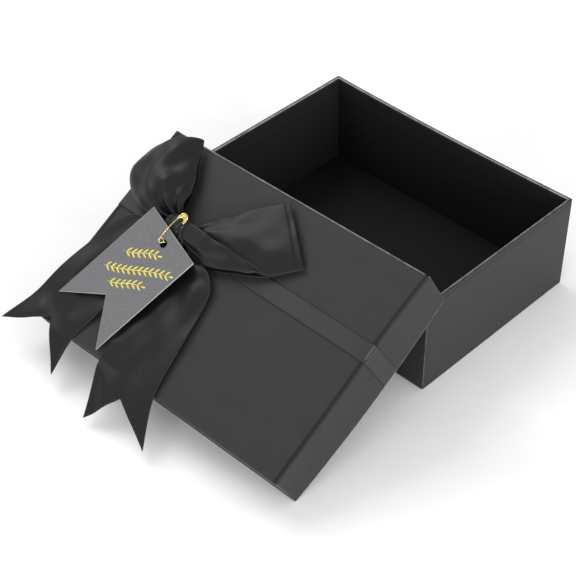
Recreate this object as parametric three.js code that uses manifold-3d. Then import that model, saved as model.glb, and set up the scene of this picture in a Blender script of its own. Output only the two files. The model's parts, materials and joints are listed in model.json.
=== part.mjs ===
// A wrapped jewellery gift box: an open tray with its lid leaning on it, a flat ribbon band round
// the lid, a satin bow, and a card hang tag held to the bow's knot by a small safety pin.
//
// Frame: the origin is at the centre of the tray's underside, +X runs along the tray's long side,
// +Y points away from the leaning lid, and +Z is up. All lengths are in millimetres.

import * as THREE from 'three';
import { mergeVertices } from 'three/addons/utils/BufferGeometryUtils.js';
import Module from 'manifold-3d';

const wasm = await Module();
wasm.setup();

// ---------------------------------------------------------------- driving dimensions

// Tray and lid.
const trayLength = 200;
const trayWidth = 138.5;
const trayHeight = 69;
const lidHeight = 30.5;
const lidPlayLengthways = 1.3; // free gap on each side between the tray's and the lid's walls
const lidPlayCrossways = 0.7;

// The layers of a wrapped board wall, from outside to inside.
const paper = 0.25;
const stayTape = 0.12;
const glueLine = 0.05;
const board = 1.5;
const boardJoint = 0.1; // gap where two boards meet
const rimTurnIn = 15; // how far the wrap is turned down inside the rim
const undersideTurnIn = 14; // how far the tray's wrap is turned in below the floor
const stayLeg = 10; // width of each leg of a corner stay
const baseSheetInset = 3;

// How the lid leans on the tray.
const restGap = 0.3; // gap kept where two resting pieces meet
const restSetback = 5.6; // contact line, measured back from the tray's front face
const lidYaw = THREE.MathUtils.degToRad(0.98);
const lidOffset = 0.8; // sideways offset of the lid's middle at the contact line
const lidOverhang = 30; // how far the tails may hang past the lid's front edge

// Ribbon. Its y and z are in the lid's own frame, and its x is measured from the knot's middle.
const bandWidth = 12.4;
const bandThickness = 0.4;
const bandCentre = 17.5; // towards the lid's back edge from its middle
const bandSkew = THREE.MathUtils.degToRad(-0.67);
const bandEnd = 1.5; // the band stops this far short of the rim
const ribbonThickness = 0.8;
const notchDepth = 22;
const bowFromLeft = 54.6; // the knot's middle, from the lid's left end
const knotCentre = 17; // the knot's middle along y
const knotSize = { x: 22, y: 18 };
const softGap = 0.6; // soft pieces stay this far above the lid or the band

// Hang tag and safety pin.
const tagWidth = 50;
const tagLength = 79;
const tagNotch = 24;
const tagThickness = 0.8;
const tagHoleRadius = 2.6;
const tagHoleInset = 8.2; // from the square end to the hole's centre
const tagHole = { x: 1, y: 4.6, z: 12.4 };
const cardTilt = THREE.MathUtils.degToRad(8);
const tagTurn = THREE.MathUtils.degToRad(-18.8);
const pinWire = 0.7; // wire diameter
const pinCoilRadius = 1.5;
const pinCoilTurns = 1.5;
const pinCapThickness = 1.7;
const pinCapRadius = 3.3;
const pinCapHole = 0.55;
const pinReach = 19.4; // from the coil's centre to the centre of the cap's round end
const pinHeading = THREE.MathUtils.degToRad(75.5);
const pinRoll = THREE.MathUtils.degToRad(22);
const pinCoilCentre = new THREE.Vector3(-1.9, 1.0, 1.4);
const pinJoint = 0.3; // gap between the wire's ends and the cap

// ---------------------------------------------------------------- derived sizes

const boardInset = paper + 2 * glueLine + stayTape; // from the outside to the board's face
const wall = boardInset + board + glueLine + paper; // full thickness of a finished wall
const lidLength = trayLength + 2 * (lidPlayLengthways + wall);
const lidWidth = trayWidth + 2 * (lidPlayCrossways + wall);
const leanAngle = Math.asin((trayHeight + restGap) / (lidWidth - wall));
const lidReach = (lidWidth - wall) * Math.cos(leanAngle); // front rim to contact line, on the table

// ---------------------------------------------------------------- materials

function finish(color, roughness, metalness = 0) {
  return new THREE.MeshStandardMaterial({ color, roughness, metalness });
}

const greyboard = finish(0x8b867c, 0.95);
const tapePaper = finish(0xb9ad97, 0.85);
const wrapPaper = finish(0x454745, 0.8);
const liningPaper = finish(0x1b1b1c, 0.9);
const bandSatin = finish(0x424341, 0.55);
const bowSatin = finish(0x2e2e30, 0.45);
const tagCard = finish(0x727274, 0.85);
const goldWire = finish(0xd2ad62, 0.28, 1);

// ---------------------------------------------------------------- solids

function toManifold(geometry) {
  const bare = geometry.clone();
  bare.deleteAttribute('normal');
  bare.deleteAttribute('uv');
  const merged = mergeVertices(bare, 1e-5);
  return new wasm.Manifold(new wasm.Mesh({
    numProp: 3,
    vertProperties: new Float32Array(merged.attributes.position.array),
    triVerts: new Uint32Array(merged.index.array),
  }));
}

function toGeometry(solid) {
  const mesh = solid.getMesh();
  const geometry = new THREE.BufferGeometry();
  geometry.setAttribute('position', new THREE.BufferAttribute(mesh.vertProperties, 3));
  geometry.setIndex(new THREE.BufferAttribute(mesh.triVerts, 1));
  geometry.computeVertexNormals();
  return geometry;
}

// A box between two corners.
function block(low, high) {
  const size = high.map((value, axis) => value - low[axis]);
  const geometry = new THREE.BoxGeometry(...size);
  geometry.translate(...high.map((value, axis) => (value + low[axis]) / 2));
  return toManifold(geometry);
}

// A box whose sides stand in from the outline length × width by inset.
function insetBlock(outline, inset, zLow, zHigh) {
  const x = outline.length / 2 - inset;
  const y = outline.width / 2 - inset;
  return block([-x, -y, zLow], [x, y, zHigh]);
}

// A rectangular ring between two insets.
function ring(outline, outerInset, innerInset, zLow, zHigh) {
  const hole = insetBlock(outline, innerInset, zLow - 1, zHigh + 1);
  return insetBlock(outline, outerInset, zLow, zHigh).subtract(hole);
}

function piece(name, solid, material) {
  const geometry = solid.isBufferGeometry ? solid : toGeometry(solid);
  const mesh = new THREE.Mesh(geometry, material);
  mesh.name = name;
  return mesh;
}

// ---------------------------------------------------------------- a wrapped box shell

// One half of the gift box, standing on its closed end with the rim up: five boards, corner
// stays, the paper wrap turned over the rim, and the lining. Board heights start at floorLevel.
function wrappedShell({ prefix, outline, height, floorLevel, closedEnd }) {
  const rimLevel = height - paper - glueLine;
  const x = outline.length / 2 - boardInset;
  const y = outline.width / 2 - boardInset;
  const shell = new THREE.Group();

  const wallBoards = {
    front: [[-x, -y, floorLevel], [x, -y + board, rimLevel]],
    back: [[-x, y - board, floorLevel], [x, y, rimLevel]],
    left: [[-x, -y + board + boardJoint, floorLevel], [-x + board, y - board - boardJoint, rimLevel]],
    right: [[x - board, -y + board + boardJoint, floorLevel], [x, y - board - boardJoint, rimLevel]],
  };
  for (const [side, [low, high]] of Object.entries(wallBoards)) {
    shell.add(piece(`${prefix}_${side}_board`, block(low, high), greyboard));
  }
  const panelInset = boardInset + board + boardJoint;
  const panel = insetBlock(outline, panelInset, floorLevel, floorLevel + board);
  shell.add(piece(`${prefix}_${closedEnd}_board`, panel, greyboard));

  const stayOuter = paper + glueLine;
  const stayRing = ring(outline, stayOuter, stayOuter + stayTape, floorLevel, rimLevel - 2);
  for (const [index, [sideX, sideY]] of [[-1, -1], [1, -1], [1, 1], [-1, 1]].entries()) {
    const corner = [sideX * outline.length / 2, sideY * outline.width / 2];
    const inner = [corner[0] - sideX * stayLeg, corner[1] - sideY * stayLeg];
    const low = [Math.min(corner[0], inner[0]), Math.min(corner[1], inner[1]), 0];
    const high = [Math.max(corner[0], inner[0]), Math.max(corner[1], inner[1]), height];
    const stay = stayRing.intersect(block(low, high));
    shell.add(piece(`${prefix}_corner_stay_${index + 1}`, stay, tapePaper));
  }

  const liningLevel = floorLevel + board + glueLine;
  const floorLining = insetBlock(outline, wall + glueLine, liningLevel, liningLevel + paper);
  shell.add(piece(`${prefix}_${closedEnd}_lining`, floorLining, liningPaper));
  const liningTop = height - rimTurnIn - glueLine;
  const wallLining = ring(outline, wall - paper, wall, liningLevel, liningTop);
  shell.add(piece(`${prefix}_wall_lining`, wallLining, liningPaper));
  return shell;
}

// The paper skin outside a shell, over its rim and down inside it. The closed end is covered
// right across, or only along a margin where the paper is turned in below the floor.
function wrap(outline, height, endLevel, margin) {
  const skin = ring(outline, 0, paper, endLevel, height);
  const rim = ring(outline, 0, wall, height - paper, height);
  const turnedDown = ring(outline, wall - paper, wall, height - rimTurnIn, height);
  const end = margin
    ? ring(outline, 0, margin, endLevel, endLevel + paper)
    : insetBlock(outline, 0, endLevel, endLevel + paper);
  return skin.add(rim).add(turnedDown).add(end);
}

function tray() {
  const outline = { length: trayLength, width: trayWidth };
  const wrapLevel = paper + glueLine; // the base sheet lies below the wrap's turned-in edge
  const shell = wrappedShell({
    prefix: 'tray',
    outline,
    height: trayHeight,
    floorLevel: wrapLevel + paper + glueLine,
    closedEnd: 'floor',
  });
  shell.add(piece('tray_wrap', wrap(outline, trayHeight, wrapLevel, undersideTurnIn), wrapPaper));
  shell.add(piece('tray_base_sheet', insetBlock(outline, baseSheetInset, 0, paper), wrapPaper));
  return shell;
}

// The lid's shell is built rim up and turned over, so that z = 0 is its top face and the rim is
// below. Turning it over swaps front and back, and the names follow.
function lidShell() {
  const outline = { length: lidLength, width: lidWidth };
  const shell = wrappedShell({
    prefix: 'lid',
    outline,
    height: lidHeight,
    floorLevel: paper + glueLine,
    closedEnd: 'top',
  });
  shell.add(piece('lid_wrap', wrap(outline, lidHeight, 0, 0), wrapPaper));
  shell.rotation.x = Math.PI;
  const names = { lid_front_board: 'lid_back_board', lid_back_board: 'lid_front_board' };
  for (const mesh of shell.children) {
    mesh.name = names[mesh.name] ?? mesh.name;
  }
  return shell;
}

// ---------------------------------------------------------------- ribbon

// The band lies across the lid's top and down both short walls.
function band() {
  const gap = restGap;
  const reach = lidLength / 2 + gap;
  const half = bandWidth / 2;
  const foot = -lidHeight + bandEnd;
  const across = block([-reach - bandThickness, -half, gap], [reach + bandThickness, half, gap + bandThickness]);
  const right = block([reach, -half, foot], [reach + bandThickness, half, gap + bandThickness]);
  const left = block([-reach - bandThickness, -half, foot], [-reach, half, gap + bandThickness]);
  const mesh = piece('band_ribbon', across.add(right).add(left), bandSatin);
  mesh.position.y = bandCentre;
  mesh.rotation.z = bandSkew;
  return mesh;
}

// A closed solid between an upper and a lower surface, each a function of u and v from 0 to 1.
function slab(upper, lower, columns, rows) {
  const positions = [];
  const triangles = [];
  const perLayer = (columns + 1) * (rows + 1);
  for (const surface of [upper, lower]) {
    for (let row = 0; row <= rows; row += 1) {
      for (let column = 0; column <= columns; column += 1) {
        positions.push(...surface(column / columns, row / rows).toArray());
      }
    }
  }
  const at = (layer, column, row) => layer * perLayer + row * (columns + 1) + column;
  const quad = (a, b, c, d) => triangles.push(a, b, c, a, c, d);
  for (let row = 0; row < rows; row += 1) {
    for (let column = 0; column < columns; column += 1) {
      quad(at(0, column, row), at(0, column + 1, row), at(0, column + 1, row + 1), at(0, column, row + 1));
      quad(at(1, column, row), at(1, column, row + 1), at(1, column + 1, row + 1), at(1, column + 1, row));
    }
    quad(at(0, 0, row), at(0, 0, row + 1), at(1, 0, row + 1), at(1, 0, row));
    quad(at(0, columns, row), at(1, columns, row), at(1, columns, row + 1), at(0, columns, row + 1));
  }
  for (let column = 0; column < columns; column += 1) {
    quad(at(0, column, 0), at(1, column, 0), at(1, column + 1, 0), at(0, column + 1, 0));
    quad(at(0, column, rows), at(0, column + 1, rows), at(1, column + 1, rows), at(1, column, rows));
  }
  const geometry = new THREE.BufferGeometry();
  geometry.setAttribute('position', new THREE.Float32BufferAttribute(positions, 3));
  geometry.setIndex(triangles);
  geometry.computeVertexNormals();
  return geometry;
}

function curve(points) {
  return new THREE.CatmullRomCurve3(points.map((point) => new THREE.Vector3(...point)));
}

// How high the card's middle plane stands above the lid's top at a given y.
function cardPlane(y) {
  return tagHole.z + (y - tagHole.y) * Math.tan(cardTilt);
}

// A loop of the bow, flattened to one closed body between its two selvedges. It rises from its
// edges to a crown, most of all part of the way out from the knot.
function loop(name, edgeA, edgeB, crown) {
  const a = curve(edgeA);
  const b = curve(edgeB);
  const across = (u, v) => a.getPoint(v).lerp(b.getPoint(v), u);
  const arch = (u, v) => 4 * u * (1 - u) * (crown.near + (crown.far - crown.near) * Math.sin(v * Math.PI / 2));
  const upper = (u, v) => {
    const point = across(u, v);
    point.z += arch(u, v);
    return point;
  };
  const lower = (u, v) => {
    const point = across(u, v);
    point.z = bandThickness + restGap + softGap;
    return point;
  };
  return piece(name, slab(upper, lower, 8, 10), bowSatin);
}

// A tail of the bow between its two selvedges, cut to a swallowtail: the length runs shortest
// along the middle, by the depth of the notch.
function tail(name, leftEdge, rightEdge) {
  const left = curve(leftEdge);
  const right = curve(rightEdge);
  const length = (left.getLength() + right.getLength()) / 2;
  const middle = (u, v) => {
    const reach = 1 - notchDepth / length * (1 - Math.abs(2 * u - 1));
    return right.getPointAt(v * reach).lerp(left.getPointAt(v * reach), u);
  };
  const upper = (u, v) => middle(u, v).add(new THREE.Vector3(0, 0, ribbonThickness));
  return piece(name, slab(upper, middle, 6, 16), bowSatin);
}

// The knot is a soft block whose crown follows the card above it. The needle runs through it in
// a tunnel under a pinched-up stitch, just clear of the card's square end.
function knot(needleTunnel) {
  const stitch = { x: 3.6, y: 16, halfX: 3, halfY: 1.7 };
  const place = (u, v) => ({
    x: (u - 0.5) * knotSize.x,
    y: knotCentre + (v - 0.5) * knotSize.y,
  });
  const upper = (u, v) => {
    const { x, y } = place(u, v);
    const shoulder = 5 * (Math.abs(2 * u - 1) ** 4) + 5 * (Math.max(0, 2 * v - 1.15) / 0.85) ** 1.5;
    const bump = Math.exp(-(((x - stitch.x) / stitch.halfX) ** 4) - ((y - stitch.y) / stitch.halfY) ** 4);
    return new THREE.Vector3(x, y, cardPlane(y) - 1.2 + 1.35 * bump - shoulder);
  };
  const lower = (u, v) => {
    const { x, y } = place(u, v);
    return new THREE.Vector3(x, y, bandThickness + restGap + softGap);
  };
  return piece('bow_knot', toManifold(slab(upper, lower, 22, 22)).subtract(needleTunnel), bowSatin);
}

// ---------------------------------------------------------------- hang tag and pin

// Both lie on the card plane: a frame at the tag's hole, tilted up from the lid's top, whose z
// is measured from the middle of the card.
function cardFrame() {
  const frame = new THREE.Group();
  frame.position.set(tagHole.x, tagHole.y, tagHole.z);
  frame.rotation.x = cardTilt;
  return frame;
}

// The card is square at the pinned end and notched at the other.
function tag() {
  const half = tagWidth / 2;
  const square = tagHoleInset;
  const end = tagHoleInset - tagLength;
  const outline = new THREE.Shape();
  outline.moveTo(-half, square);
  outline.lineTo(-half, end);
  outline.lineTo(0, end + tagNotch);
  outline.lineTo(half, end);
  outline.lineTo(half, square);
  outline.closePath();
  outline.holes.push(new THREE.Path().absarc(0, 0, tagHoleRadius, 0, 2 * Math.PI, true));
  const settings = { depth: tagThickness, bevelEnabled: false, curveSegments: 24 };
  const card = new THREE.ExtrudeGeometry(outline, settings);
  card.translate(0, 0, -tagThickness / 2);
  card.rotateZ(tagTurn);
  return piece('hang_tag', card, tagCard);
}

// The pin's own axes on the card plane: u from the coil to the cap, v from the needle to the back
// wire, and w square to both.
const pinAxes = new THREE.Matrix4().makeRotationFromEuler(new THREE.Euler(pinRoll, 0, pinHeading, 'ZYX'));

function pinPoint(u, v, w) {
  return new THREE.Vector3(u, v, w).applyMatrix4(pinAxes).add(pinCoilCentre);
}

// The needle leaves the coil, dips through the tag's hole, runs under the card and through the
// knot, and rises to the cap. Its points are on the card plane's frame.
const needleRoute = [[0.3, 1.9, -1.15], [1.0, 5.0, -1.4], [1.9, 9.0, -1.5], [2.7, 13.2, -1.5], [4.4, 15.2, -1.0]];
const capThroat = 15.9; // where the cap's two prongs end, measured along u
const prongSpread = 2.75; // from the pin's middle line to each prong's middle

function pinWirePiece() {
  const pitch = (pinWire + 0.12) * pinCoilTurns;
  const points = [pinPoint(capThroat - pinJoint, prongSpread, 0), pinPoint(9, 2.4, 0), pinPoint(3, 1.8, pitch / 2)];
  const steps = 18;
  for (let step = 0; step <= steps; step += 1) {
    const share = step / steps;
    const angle = Math.PI / 2 + share * pinCoilTurns * 2 * Math.PI;
    const u = pinCoilRadius * Math.cos(angle);
    const v = pinCoilRadius * Math.sin(angle);
    points.push(pinPoint(u, v, pitch / 2 - share * pitch));
  }
  points.push(...needleRoute.map((point) => new THREE.Vector3(...point)));
  const path = new THREE.CatmullRomCurve3(points, false, 'centripetal');
  const section = new THREE.Shape().absarc(0, 0, pinWire / 2, 0, 2 * Math.PI, false);
  const settings = { steps: 110, bevelEnabled: false, curveSegments: 4, extrudePath: path };
  return piece('pin_wire', new THREE.ExtrudeGeometry(section, settings), goldWire);
}

// The cap is a folded sheet shield: round at the far end, with a prong down each side, one
// holding the back wire and one guarding the needle's point.
function pinCap() {
  const prong = 0.75; // half-width of a prong
  const shoulder = pinReach - 1.2;
  const outline = new THREE.Shape();
  outline.moveTo(capThroat, prongSpread - prong);
  outline.lineTo(shoulder, prongSpread - 1.3);
  outline.lineTo(shoulder, -prongSpread + 1.3);
  outline.lineTo(capThroat, -prongSpread + prong);
  outline.lineTo(capThroat, -prongSpread - prong);
  outline.lineTo(pinReach, -pinCapRadius);
  outline.absarc(pinReach, 0, pinCapRadius, -Math.PI / 2, Math.PI / 2, false);
  outline.lineTo(capThroat, prongSpread + prong);
  outline.closePath();
  const hole = new THREE.Path().absarc(pinReach + 0.4, 0.6, pinCapHole, 0, 2 * Math.PI, true);
  outline.holes.push(hole);
  const settings = { depth: pinCapThickness, bevelEnabled: false, curveSegments: 12 };
  const shield = new THREE.ExtrudeGeometry(outline, settings);
  shield.translate(0, 0, -pinCapThickness / 2);
  shield.applyMatrix4(pinAxes);
  shield.translate(...pinCoilCentre.toArray());
  return piece('pin_cap', shield, goldWire);
}

// The room that the needle sweeps in the knot, in the lid's frame.
function needleTunnel(frame) {
  const width = 2.7;
  const height = 1.4;
  const [start, end] = [needleRoute[0], needleRoute[3]].map((point) => new THREE.Vector3(...point));
  const middle = start.clone().lerp(end, 0.5);
  const run = end.clone().sub(start);
  const geometry = new THREE.BoxGeometry(run.length() + 6, width, height);
  geometry.rotateZ(Math.atan2(run.y, run.x));
  geometry.translate(middle.x, middle.y, (needleRoute[1][2] + needleRoute[3][2]) / 2);
  frame.updateMatrix();
  geometry.applyMatrix4(frame.matrix);
  return toManifold(geometry);
}

// ---------------------------------------------------------------- the lid with its trim

function lid() {
  const group = new THREE.Group();
  const card = cardFrame();
  const front = -lidWidth / 2;
  const tip = front - lidOverhang;
  group.add(lidShell(), band());

  const bow = new THREE.Group();
  bow.position.x = bowFromLeft - lidLength / 2;
  bow.add(knot(needleTunnel(card)));
  bow.add(loop(
    'bow_loop_left',
    [[-16.5, 26.5, 7], [-29, 21, 8], [-41, 22.5, 8], [-51, 30, 8], [-54, 40, 9], [-52, 49, 11]],
    [[-6, 34.5, 7], [-5.5, 38, 8], [-6, 46, 9], [-11, 57, 10], [-17, 65, 10], [-23.5, 71, 11]],
    { near: 3, far: 11 },
  ));
  bow.add(loop(
    'bow_loop_right',
    [[11.5, 29, 4.5], [19, 37.5, 4.5], [25, 44, 4.5], [31, 51, 4.5], [39, 59, 4], [48, 66, 4]],
    [[17.4, 14.5, 4.5], [30, 9.5, 4.5], [47, 14, 4], [65, 21, 4], [76, 29, 4], [84, 37, 4]],
    { near: 4, far: 3 },
  ));
  bow.add(tail(
    'bow_tail_left',
    [[-15, 4, 4.5], [-33, 4, 4.2], [-46, -12, 4], [-51, -27, 3.4], [-59, -57, 2], [-62, front + 2, 1.2], [-69, tip + 17, -1]],
    [[-3, 3, 4.5], [-5, -18, 3.5], [-8, -40, 1.6], [-11, -54, 0.6], [-15, front, 0.6], [-22, tip + 6, -5]],
  ));
  bow.add(tail(
    'bow_tail_right',
    [[2, 3, 4.5], [5, -18, 3.5], [8, -38, 1.6], [11, -58, 0.6], [12, front, 0.6], [22, tip - 2, -3]],
    [[16, 5.5, 4.5], [35, 0, 4.5], [46, -9, 3.8], [51, -25, 2.4], [54, -50, 0.8], [55, front, 0.6], [67, tip + 2, -6]],
  ));
  card.add(tag(), pinWirePiece(), pinCap());
  bow.add(card);
  group.add(bow);

  group.rotation.set(leanAngle, 0, lidYaw, 'ZYX');
  const contactY = -trayWidth / 2 + restSetback;
  const frontRim = new THREE.Vector3(
    lidOffset + Math.tan(lidYaw) * lidReach,
    contactY - lidReach,
    0,
  );
  const localFrontRim = new THREE.Vector3(0, -lidWidth / 2, -lidHeight).applyEuler(group.rotation);
  group.position.copy(frontRim.sub(localFrontRim));
  return group;
}

const giftBox = new THREE.Group();
giftBox.add(tray(), lid());

export default giftBox;
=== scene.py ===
"""Looks of a wrapped gift box: papered boards, a ribbon band and bow, a card hang tag and a safety pin."""

import json
import math

import bpy
import numpy as np
from mathutils import Matrix


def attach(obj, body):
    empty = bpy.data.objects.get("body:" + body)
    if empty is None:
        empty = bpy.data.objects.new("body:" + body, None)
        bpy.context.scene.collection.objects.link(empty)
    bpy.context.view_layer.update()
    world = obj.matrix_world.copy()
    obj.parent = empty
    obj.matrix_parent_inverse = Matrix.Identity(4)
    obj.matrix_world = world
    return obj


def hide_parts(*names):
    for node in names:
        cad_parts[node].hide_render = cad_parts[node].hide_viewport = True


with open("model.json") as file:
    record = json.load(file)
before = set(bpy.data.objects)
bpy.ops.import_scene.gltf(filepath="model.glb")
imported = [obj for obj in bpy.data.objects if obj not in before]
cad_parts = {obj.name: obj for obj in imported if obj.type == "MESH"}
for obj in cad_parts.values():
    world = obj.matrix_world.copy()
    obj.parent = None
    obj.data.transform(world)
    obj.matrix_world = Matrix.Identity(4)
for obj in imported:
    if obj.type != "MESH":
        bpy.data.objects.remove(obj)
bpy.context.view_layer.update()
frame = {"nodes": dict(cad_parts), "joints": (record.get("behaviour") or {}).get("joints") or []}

bl_info = {
    "name": "Wrapped gift box",
    "version": (1, 0, 0),
    "blender": (4, 5, 0),
    "location": "View3D > Sidebar > Gift box",
    "description": "Builds the papered box, its satin bow, hang tag and safety pin",
    "category": "Add Mesh",
}

MM = 0.001


# ---------------------------------------------------------------- places taken from the frame


class Place:
    """An origin in metres with three square axes. Its own lengths are in millimetres."""

    def __init__(self, origin, axes):
        self.origin = np.array(origin, float)
        self.axes = np.array(axes, float)

    def world(self, points):
        """Points of this place, in the row frame and in metres."""
        return self.origin + np.asarray(points, float) * MM @ self.axes

    def local(self, points):
        """Points of the row frame, in this place's millimetres."""
        return (np.asarray(points, float) - self.origin) @ self.axes.T / MM


def node_points(name):
    """The corner points of one CAD node, in metres."""
    mesh = frame["nodes"][name].data
    flat = np.empty(len(mesh.vertices) * 3)
    mesh.vertices.foreach_get("co", flat)
    return flat.reshape(-1, 3)


def node_span(place, name):
    """The lowest and highest corner of a CAD node along a place's own axes, in millimetres."""
    points = place.local(node_points(name))
    return points.min(0), points.max(0)


def find_lid():
    """The lid's place: its origin is the middle of the top face, x runs along it and z stands out of it.

    The axes are the eigenvectors of the top board's eight corners, from the thinnest way to the longest.
    """
    corners = np.unique(np.round(node_points("lid_top_board"), 6), axis=0)
    spread = corners - corners.mean(0)
    thin, _, long = np.linalg.eigh(spread.T @ spread)[1].T
    x = long * np.sign(long[0])
    z = thin * np.sign(thin[2])
    turned = Place((0, 0, 0), (x, np.cross(z, x), z))
    low, high = node_span(turned, "lid_wrap")
    top = ((low[0] + high[0]) / 2, (low[1] + high[1]) / 2, high[2])
    return Place(turned.world(top), turned.axes)


def find_card(lid):
    """The card's place: its origin is the tag's hole, and z stands out of the card."""
    hinge = next(j for j in frame["joints"] if j["name"] == "tag_swing")
    z = np.array(hinge["axis"]) / np.linalg.norm(hinge["axis"])
    x = lid.axes[0] - lid.axes[0].dot(z) * z
    x /= np.linalg.norm(x)
    return Place(hinge["pos_m"], (x, np.cross(z, x), z))


TRAY = Place((0, 0, 0), np.eye(3))
LID = find_lid()
CARD = find_card(LID)

TRAY_LOW, TRAY_HIGH = node_span(TRAY, "tray_wrap")
LID_LOW, LID_HIGH = node_span(LID, "lid_wrap")
KNOT_LOW, KNOT_HIGH = node_span(LID, "bow_knot")
KNOT_MIDDLE = (KNOT_LOW + KNOT_HIGH) / 2
BOW = Place(LID.world((KNOT_MIDDLE[0], 0, 0)), LID.axes)
CARD_IN_BOW = BOW.local(CARD.origin)
CARD_SLOPE = CARD.axes[1].dot(LID.axes[2]) / CARD.axes[1].dot(LID.axes[1])
LID_FRONT = LID_LOW[1]

# The lines that the hang tag can swing to, in degrees from straight down the lid.
SWING_MIDDLE = -15.3
SWING_HALF = 16.0

# Papered walls, in millimetres: the paper, the whole wall, how far the paper is turned in and its
# round corners seen from above.
PAPER = 0.25
WALL = 2.27
TURNED_DOWN = 15.0
TURNED_UNDER = 14.0
CORNER_ROUND = 0.9

# Channels pressed into the paper: how deep, how far from each upright corner and below the rim.
CHANNEL_DEPTH = 0.16
FLAP_END = 2.1
RIM_CHANNEL = 3.0

# How far the linings stop short of the rims.
RIM_MARGIN = 1.6

# How far in the lid's wall boards meet its top board, and where its top becomes one flat face.
LID_JOINT = WALL + 0.1
TOP_FLAT = 17.0

# How far the lid's top crease is drawn in at its right end.
CREASE_DRAW = 1.2


# ---------------------------------------------------------------- sizes and colours to choose


def colour(text):
    """A linear colour with alpha from an sRGB hex value such as 4b4b49."""
    channels = [int(text[i:i + 2], 16) / 255 for i in (0, 2, 4)]
    linear = [c / 12.92 if c <= 0.04045 else ((c + 0.055) / 1.055) ** 2.4 for c in channels]
    return (*linear, 1.0)


def length_setting(name, description, millimetres):
    """A length that a user may change, kept in metres."""
    return bpy.props.FloatProperty(
        name=name, description=description, default=millimetres * MM,
        min=0.0, unit="LENGTH", subtype="DISTANCE", precision=5,
    )


def colour_setting(name, description, text):
    """A colour that a user may change."""
    return bpy.props.FloatVectorProperty(
        name=name, description=description, default=colour(text),
        size=4, min=0.0, max=1.0, subtype="COLOR",
    )


class GiftBoxPaper(bpy.types.PropertyGroup):
    """Papered tray and lid."""

    wrap: colour_setting("Wrap", "Uncoated charcoal paper outside", "2a2c2a")
    lining: colour_setting("Lining", "Black paper inside", "1e1e1e")
    # Pale colour for rubbed creases and for the painted highlights along rims and long edges.
    worn_and_highlight: colour_setting("Worn edge", "Paper rubbed pale along the creases", "9a9a97")
    board: colour_setting("Grey board", "Bare recycled board under the paper", "8b867c")
    tape: colour_setting("Corner tape", "Gummed paper at each board corner", "b9ad97")
    edge_round: length_setting("Edge round", "Radius of the paper over a board edge", 0.55)
    rim_bow: length_setting("Tray rim bow", "How far the far rim bows in at its middle", 1.7)
    lid_bow: length_setting("Lid wall bow", "How far the lid's right rim bows out", 2.4)


class GiftBoxRibbon(bpy.types.PropertyGroup):
    """Band and bow."""

    satin: colour_setting("Bow satin", "Soft black satin of the bow", "090909")
    band: colour_setting("Band satin", "Charcoal satin of the flat band", "242424")
    width: length_setting("Ribbon width", "Width of the bow's ribbon as cut", 42.0)
    notch: length_setting("Swallowtail", "Depth of the notch cut in each tail", 22.0)


class GiftBoxTrim(bpy.types.PropertyGroup):
    """Hang tag and safety pin."""

    card: colour_setting("Card", "Grey cardstock of the tag", "666668")
    foil: colour_setting("Foil", "Pressed gold foil", "ffec74")
    gold: colour_setting("Pin", "Gold plated wire", "f2d892")
    card_width: length_setting("Tag width", "Width of the tag", 50.0)
    card_length: length_setting("Tag length", "Length of the tag to its two tips", 79.0)
    card_notch: length_setting("Tag notch", "Depth of the notch between the tips", 24.0)
    card_hole: length_setting("Tag hole", "Radius of the punched hole", 2.6)


# ---------------------------------------------------------------- meshes from whole arrays


def corner_index(rows, columns, close_rows, close_columns):
    """The row and column of each face's four corners, not yet wrapped round."""
    last_row = rows if close_rows else rows - 1
    last_column = columns if close_columns else columns - 1
    i, j = np.meshgrid(np.arange(last_row), np.arange(last_column), indexing="ij")
    i, j = i.ravel()[:, None], j.ravel()[:, None]
    return i + np.array([0, 0, 1, 1]), j + np.array([0, 1, 1, 0])


def grid_piece(name, points, material, close_rows=False, close_columns=False,
               start_cap=False, end_cap=False, uv=None, wear_and_painted_light=None):
    """A smooth mesh on a grid of points (rows, columns, 3) in metres.

    A face looks along its column direction crossed with its row direction. A closed direction
    joins its last line of points to its first, and a cap is one flat face on the end row.
    uv holds millimetres for each point, with one line more along a closed direction.
    """
    rows, columns = points.shape[:2]
    i, j = corner_index(rows, columns, close_rows, close_columns)
    faces = (i % rows * columns + j % columns).tolist()
    if start_cap:
        faces.append(list(range(columns))[::-1])
    if end_cap:
        faces.append(list(range((rows - 1) * columns, rows * columns)))
    mesh = bpy.data.meshes.new(name)
    mesh.from_pydata(points.reshape(-1, 3).tolist(), [], faces)
    mesh.polygons.foreach_set("use_smooth", np.ones(len(faces), bool))
    if uv is not None:
        flat = np.zeros((len(mesh.loops), 2))
        flat[:i.size] = uv[i.ravel(), j.ravel()]
        mesh.uv_layers.new(name="cloth_mm").data.foreach_set("uv", flat.ravel())
    # A point attribute: rubbing together with painted highlight (above 0) and painted shade (below 0).
    if wear_and_painted_light is not None:
        attribute = mesh.attributes.new("wear_and_painted_light", "FLOAT", "POINT")
        attribute.data.foreach_set("value", wear_and_painted_light.astype(np.float32).ravel())
    mesh.materials.append(material)
    mesh.validate()
    piece = bpy.data.objects.new(name, mesh)
    bpy.context.scene.collection.objects.link(piece)
    return piece


def closed_tube(name, points, material, uv=None):
    """A skin closed round its section, with a flat cap on each end."""
    return grid_piece(name, points, material, close_columns=True, start_cap=True, end_cap=True, uv=uv)


def cloth_grid(width, length, columns, rows):
    """Millimetres across and along a cloth, for each point of a grid."""
    return np.meshgrid(np.linspace(0, width, columns), np.linspace(0, length, rows))


def path_length(path):
    """The length of a path of points."""
    return np.linalg.norm(np.diff(path, axis=0), axis=1).sum()


def full_turn(count):
    """Angles round a closed section, as one row."""
    return np.linspace(0, 2 * np.pi, count, endpoint=False)[None]


def squared(value, power):
    """A sine or cosine made fuller: its sign times |value| to a power below 1."""
    return np.sign(value) * np.abs(value) ** power


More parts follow.
